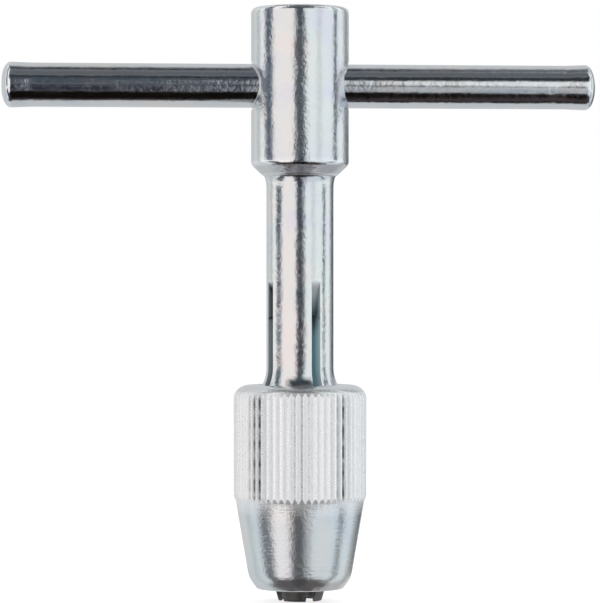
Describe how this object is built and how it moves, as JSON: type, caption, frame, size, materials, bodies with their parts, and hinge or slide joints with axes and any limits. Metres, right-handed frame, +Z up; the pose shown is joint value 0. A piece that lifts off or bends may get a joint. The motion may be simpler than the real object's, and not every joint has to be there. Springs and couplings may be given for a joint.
{
  "type": "chuck tap wrench",
  "caption": "T-handle tap wrench: a split-jaw spindle closed on the tap's square by a knurled screw nut, turned by a sliding cross bar.",
  "frame": {"origin": "on the spindle's axis at the level of the jaw tips, which is the bottom centre of the part", "axes": "+Z up the spindle from the jaws to the head, +X along the sliding cross bar, +Y across both"},
  "size_m": [0.0814, 0.0182, 0.0811],
  "materials": {
    "spindle_plate": "gloss",
    "jaw_plate": "gloss",
    "nut_plate": "satin",
    "nut_cone": "satin",
    "bar_plate": "gloss"
  },
  "bodies": {
    "spindle": {"spindle": "spindle_plate"},
    "spring_jaw_1": {"spring_jaw_1": "jaw_plate"},
    "spring_jaw_2": {"spring_jaw_2": "jaw_plate"},
    "spring_jaw_3": {"spring_jaw_3": "jaw_plate"},
    "spring_jaw_4": {"spring_jaw_4": "jaw_plate"},
    "chuck_nut_cone": {"chuck_nut_cone": "nut_cone"},
    "chuck_nut": {"chuck_nut": "nut_plate"},
    "tommy_bar": {"tommy_bar": "bar_plate"}
  },
  "joints": [
    {"name": "tommy_bar_slide", "type": "slide", "parent": "spindle", "child": "tommy_bar", "axis": [1, 0, 0], "range_m": [-0.0322, 0.0322]},
    {"name": "chuck_nut_travel", "type": "slide", "parent": "spindle", "child": "chuck_nut_cone", "axis": [0, 0, 1], "range_m": [-0.00095, 0.00254]},
    {"name": "chuck_nut_turn", "type": "hinge", "parent": "chuck_nut_cone", "child": "chuck_nut", "pos_m": [0, 0, 0.015], "axis": [0, 0, 1], "range_deg": [-270, 720]},
    {"name": "spring_jaw_1_flex", "type": "hinge", "parent": "spindle", "child": "spring_jaw_1", "pos_m": [0.00138, 0.00359, 0.03852], "axis": [-0.9336, 0.3584, 0], "range_deg": [-0.33, 0.87]},
    {"name": "spring_jaw_2_flex", "type": "hinge", "parent": "spindle", "child": "spring_jaw_2", "pos_m": [-0.00359, 0.00138, 0.03852], "axis": [-0.3584, -0.9336, 0], "range_deg": [-0.33, 0.87]},
    {"name": "spring_jaw_3_flex", "type": "hinge", "parent": "spindle", "child": "spring_jaw_3", "pos_m": [-0.00138, -0.00359, 0.03852], "axis": [0.9336, -0.3584, 0], "range_deg": [-0.33, 0.87]},
    {"name": "spring_jaw_4_flex", "type": "hinge", "parent": "spindle", "child": "spring_jaw_4", "pos_m": [0.00359, -0.00138, 0.03852], "axis": [0.3584, 0.9336, 0], "range_deg": [-0.33, 0.87]}
  ],
  "couplings": [
    {"joint": "chuck_nut_turn", "follows": "chuck_nut_travel", "rad_per_m": 4947.4},
    {"joint": "spring_jaw_1_flex", "follows": "chuck_nut_travel", "rad_per_m": 5.8877},
    {"joint": "spring_jaw_2_flex", "follows": "chuck_nut_travel", "rad_per_m": 5.8877},
    {"joint": "spring_jaw_3_flex", "follows": "chuck_nut_travel", "rad_per_m": 5.8877},
    {"joint": "spring_jaw_4_flex", "follows": "chuck_nut_travel", "rad_per_m": 5.8877}
  ]
}
